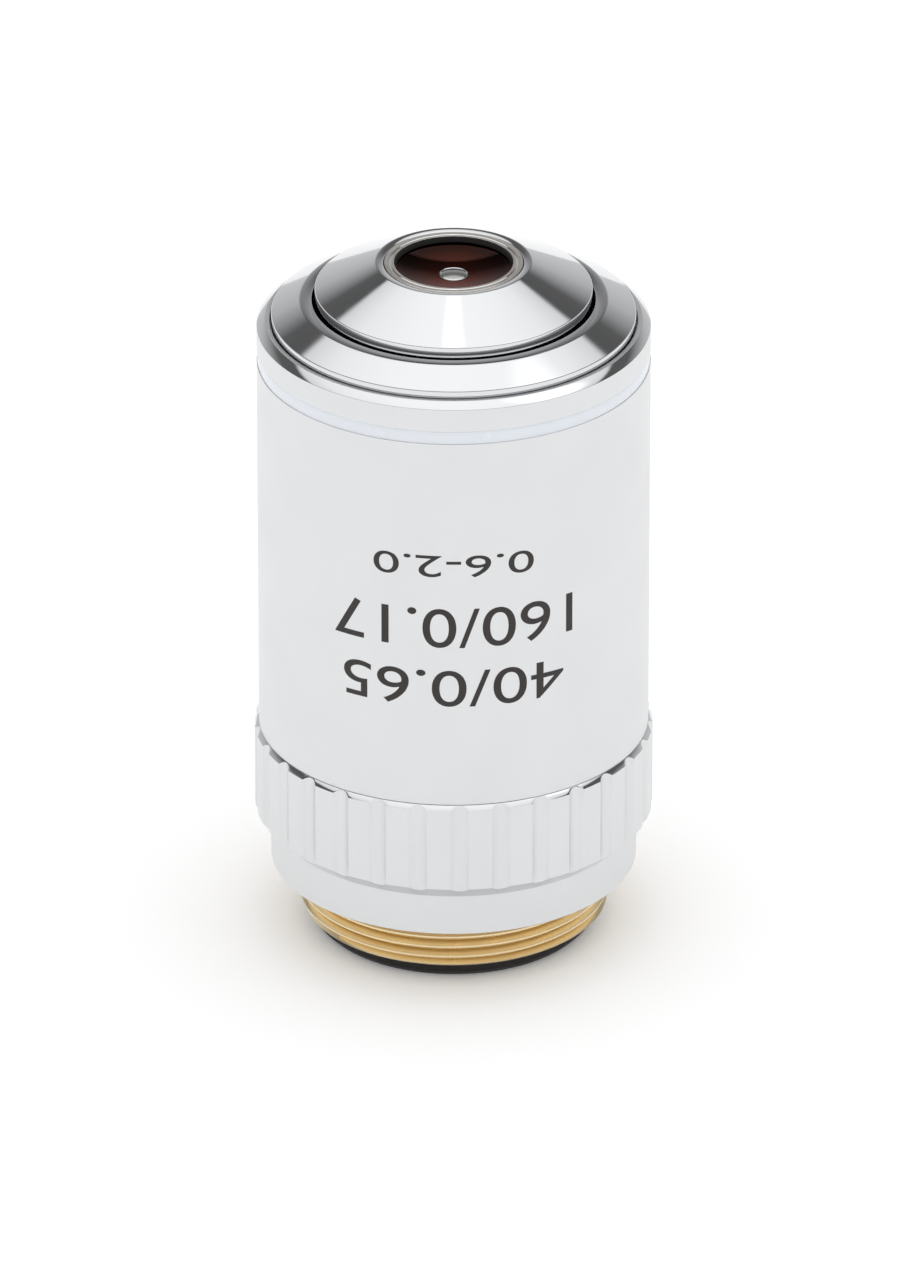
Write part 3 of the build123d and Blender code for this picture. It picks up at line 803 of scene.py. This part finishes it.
def mount():
    """Mount tube with its cut thread, and the black ring that closes the rear."""
    collar_radius, bottom, tube_top = span("mount_tube")
    collar_bottom = span("parfocal_shim")[2]
    collar_top = collar_bottom + TUBE_COLLAR_THICKNESS
    root = THREAD_RADIUS - THREAD_DEPTH
    relief = THREAD_RADIUS - RELIEF_DEPTH
    outer = collar_radius - TUBE_COLLAR_WIDTH
    guide_bore = outer - TUBE_WALL
    rear_bore = relief - THREAD_WALL
    mesh = turned(
        [
            (rear_bore, bottom),
            (root, bottom),
            (root, -RELIEF_LENGTH),
            (relief, -RELIEF_LENGTH),
            (relief, SHOULDER_BORE_CHAMFER),
            (outer, SHOULDER_BORE_CHAMFER),
            (outer, collar_bottom),
            (collar_radius, collar_bottom),
            (collar_radius, collar_top),
            (outer, collar_top),
            (outer, tube_top),
            (guide_bore, tube_top),
            (guide_bore, GUIDE_BOTTOM),
            (rear_bore, GUIDE_BOTTOM),
        ],
        edge=FINE_BREAK,
    )
    sunk = root - RIDGE_SINK
    crest = THREAD_CREST / 2
    start = bottom - THREAD_PITCH / 2
    profile = [
        (sunk, start - RIDGE_HALF_BASE),
        (root, start - RIDGE_HALF_BASE),
        (THREAD_RADIUS, start - crest),
        (THREAD_RADIUS, start + crest),
        (root, start + RIDGE_HALF_BASE),
        (sunk, start + RIDGE_HALF_BASE),
    ]
    turns = (-RELIEF_LENGTH - start) / THREAD_PITCH
    ridge = coiled(profile, THREAD_PITCH, turns, STEPS_ROUND)
    # The ridge is chamfered at the rear, and runs out at the relief.
    for vert in ridge.verts:
        away = hypot(vert.co.x, vert.co.y)
        height = min(max(vert.co.z, bottom), -RELIEF_LENGTH)
        chamfer = THREAD_RADIUS - THREAD_CHAMFER + height - bottom
        runout = root + (-RELIEF_LENGTH - height) * THREAD_DEPTH / THREAD_RUNOUT
        keep = min(away, max(min(chamfer, runout), sunk))
        vert.co = Vector((vert.co.x * keep / away, vert.co.y * keep / away, height))
    data = bpy.data.meshes.new("ridge")
    ridge.to_mesh(data)
    ridge.free()
    mesh.from_mesh(data)
    piece("threaded_tube", mesh, (BRASS,), "housing", ["mount_tube"])

    radius, bottom, top = span("rear_stop_ring")
    face = bottom + REAR_RING_THICKNESS
    spigot = rear_bore - FIT
    aperture = spigot - REAR_RING_WALL
    mesh = turned(
        [
            (aperture + REAR_RING_TAPER, bottom),
            (radius - REAR_RING_CHAMFER, bottom),
            (radius, bottom + REAR_RING_CHAMFER),
            (radius, face),
            (spigot, face),
            (spigot, top),
            (aperture, top),
        ]
    )
    piece("rear_ring", mesh, (BLACK,), "housing", ["rear_stop_ring"])


def spring():
    """Return spring, coiled at one fixed length; in the objective it shortens as the nose is pushed in.
    """
    outer, bottom, top = span("return_spring")
    middle = outer - SPRING_WIRE_RADIUS
    turns = [i * 2 * pi / WIRE_SIDES for i in range(WIRE_SIDES)]
    low = bottom + SPRING_WIRE_RADIUS
    wire = [(middle + SPRING_WIRE_RADIUS * cos(a), low + SPRING_WIRE_RADIUS * sin(a)) for a in turns]
    pitch = (top - bottom - 2 * SPRING_WIRE_RADIUS) / SPRING_TURNS
    mesh = coiled(wire, pitch, SPRING_TURNS, SPRING_STEPS_PER_TURN)
    made = piece("coil", mesh, (SPRING_STEEL,), "housing", ["return_spring"], even=False)
    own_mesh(made)


def print_rows():
    """Plain numbers in black ink, which read upright when the objective hangs nose down."""
    radius = span("barrel_sleeve")[0]
    for name, (words, tall, wide, middle) in PRINTED_ROWS.items():
        curve = bpy.data.curves.new(name, "FONT")
        curve.body = words
        curve.resolution_u = LETTER_STEPS
        curve.extrude = INK_THICKNESS / 2
        holder = bpy.data.objects.new(name + "_words", curve)
        bpy.context.scene.collection.objects.link(holder)
        graph = bpy.context.evaluated_depsgraph_get()
        flat = bpy.data.meshes.new_from_object(holder.evaluated_get(graph))
        bpy.data.objects.remove(holder)
        mesh = bmesh.new()
        mesh.from_mesh(flat)
        xs = [v.co.x for v in mesh.verts]
        ys = [v.co.y for v in mesh.verts]
        centre = Vector(((min(xs) + max(xs)) / 2, (min(ys) + max(ys)) / 2, -INK_THICKNESS / 2))
        bmesh.ops.translate(mesh, vec=-centre, verts=mesh.verts[:])
        stretch = (wide / (max(xs) - min(xs)), tall / (max(ys) - min(ys)), 1)
        bmesh.ops.scale(mesh, vec=stretch, verts=mesh.verts[:])
        bmesh.ops.remove_doubles(mesh, verts=mesh.verts[:], dist=CUT_MERGE_DISTANCE)
        for i in range(int(wide / PRINT_STRIP) + 1):
            cut = (-wide / 2 + i * PRINT_STRIP, 0, 0)
            everything = mesh.verts[:] + mesh.edges[:] + mesh.faces[:]
            bmesh.ops.bisect_plane(mesh, geom=everything, plane_co=cut, plane_no=(1, 0, 0))
        for vert in mesh.verts:
            turn = -vert.co.x / radius
            out = radius + vert.co.z
            vert.co = Vector((out * sin(turn), -out * cos(turn), middle - vert.co.y))
        piece(name, mesh, (INK,), "housing", even=False)


def studio():
    """White surroundings, with a dark gap below the overhead soft box, and two soft lamps."""
    world = bpy.data.worlds.new("studio")
    bpy.context.scene.world = world
    world.use_nodes = True
    tree = world.node_tree
    tree.nodes.clear()
    direction = add(tree, "ShaderNodeTexCoord").outputs["Generated"]
    height = add(tree, "ShaderNodeSeparateXYZ", {"Vector": direction}).outputs["Z"]
    share = add(tree, "ShaderNodeMath", {0: height, 1: 0.5, 2: 0.5}, operation="MULTIPLY_ADD")
    ramp = add(tree, "ShaderNodeValToRGB", {"Fac": share.outputs["Value"]})
    stops = ramp.color_ramp.elements
    while len(stops) > 1:
        stops.remove(stops[-1])
    for i, (z, level) in enumerate(STUDIO_LEVELS):
        stop = stops[0] if i == 0 else stops.new((z + 1) / 2)
        stop.position = (z + 1) / 2
        stop.color = (level / RAMP_TOP, level / RAMP_TOP, level / RAMP_TOP, 1)
    level = add(tree, "ShaderNodeMath", {0: ramp.outputs["Color"], 1: RAMP_TOP}, operation="MULTIPLY")
    for towards, half_width, soft, gain in (STRIP_LIGHT, SIDE_LIGHT):
        aim = add(
            tree,
            "ShaderNodeVectorMath",
            {0: direction, 1: Vector(towards).normalized()},
            operation="DOT_PRODUCT",
        )
        glow = add(
            tree,
            "ShaderNodeMapRange",
            {
                "Value": aim.outputs["Value"],
                "From Min": cos(half_width + soft),
                "From Max": cos(half_width),
                "To Min": 0.0,
                "To Max": gain,
            },
            interpolation_type="SMOOTHSTEP",
        )
        level = add(
            tree,
            "ShaderNodeMath",
            {0: level.outputs["Value"], 1: glow.outputs["Result"]},
            operation="ADD",
        )
    path = add(tree, "ShaderNodeLightPath")
    overhead = add(
        tree,
        "ShaderNodeMath",
        {0: height, 1: ZENITH_GAIN, 2: HORIZON_LEVEL},
        operation="MULTIPLY_ADD",
    )
    lit = add(tree, "ShaderNodeMix", {"Factor": path.outputs["Is Diffuse Ray"]}, data_type="FLOAT")
    tree.links.new(level.outputs["Value"], lit.inputs["A"])
    tree.links.new(overhead.outputs["Value"], lit.inputs["B"])
    seen = add(tree, "ShaderNodeMix", {"Factor": path.outputs["Is Camera Ray"]}, data_type="FLOAT")
    tree.links.new(lit.outputs["Result"], seen.inputs["A"])
    seen.inputs["B"].default_value = 1.0
    back = add(tree, "ShaderNodeBackground", {"Strength": seen.outputs["Result"]})
    back.inputs["Color"].default_value = (1, 1, 1, 1)
    add(tree, "ShaderNodeOutputWorld", {"Surface": back.outputs["Background"]})


def floor():
    """A white sweep that keeps the object's soft shadow and shows white in the metal."""
    mesh = bmesh.new()
    low = cad_box[0][2]
    bmesh.ops.create_circle(
        mesh,
        cap_ends=True,
        radius=SWEEP_RADIUS,
        segments=SWEEP_SIDES,
        matrix=Matrix.Translation((0, 0, low)),
    )
    data = bpy.data.meshes.new("sweep")
    mesh.to_mesh(data)
    mesh.free()
    made = bpy.data.materials.new("white_sweep")
    made.use_nodes = True
    tree = made.node_tree
    tree.nodes.clear()
    path = add(tree, "ShaderNodeLightPath")
    shown = add(
        tree,
        "ShaderNodeMath",
        {0: path.outputs["Is Camera Ray"], 1: path.outputs["Is Glossy Ray"]},
        operation="ADD",
    )
    shown = add(
        tree,
        "ShaderNodeMath",
        {0: shown.outputs["Value"], 1: path.outputs["Is Transmission Ray"]},
        operation="ADD",
    )
    lift = add(tree, "ShaderNodeMath", {0: shown.outputs["Value"], 1: SWEEP_LIFT}, operation="MULTIPLY")
    glow = add(tree, "ShaderNodeEmission", {"Strength": lift.outputs["Value"]})
    matt = add(tree, "ShaderNodeBsdfDiffuse", {"Color": (SWEEP_ALBEDO, SWEEP_ALBEDO, SWEEP_ALBEDO, 1)})
    both = add(tree, "ShaderNodeAddShader", {0: glow.outputs["Emission"], 1: matt.outputs["BSDF"]})
    add(tree, "ShaderNodeOutputMaterial", {"Surface": both.outputs["Shader"]})
    data.materials.append(made)
    sweep = bpy.data.objects.new("sweep", data)
    bpy.context.scene.collection.objects.link(sweep)


def camera():
    """The photograph's viewpoint."""
    lens = bpy.data.cameras.new("photo_camera")
    lens.sensor_width = SENSOR
    lens.lens = FOCAL_PIXELS / PHOTO_HEIGHT * SENSOR
    made = bpy.data.objects.new("photo_camera", lens)
    bpy.context.scene.collection.objects.link(made)
    made.location = (
        CAMERA_ASIDE,
        -CAMERA_DISTANCE * cos(CAMERA_ELEVATION),
        CAMERA_DISTANCE * sin(CAMERA_ELEVATION),
    )
    made.rotation_euler = (pi / 2 - CAMERA_PITCH, 0, 0)
    bpy.context.scene.camera = made


dress_cad_nodes()
grip()
barrel()
nose()
mount()
spring()
print_rows()
studio()
floor()
camera()
bpy.context.scene.view_settings.view_transform = "Standard"
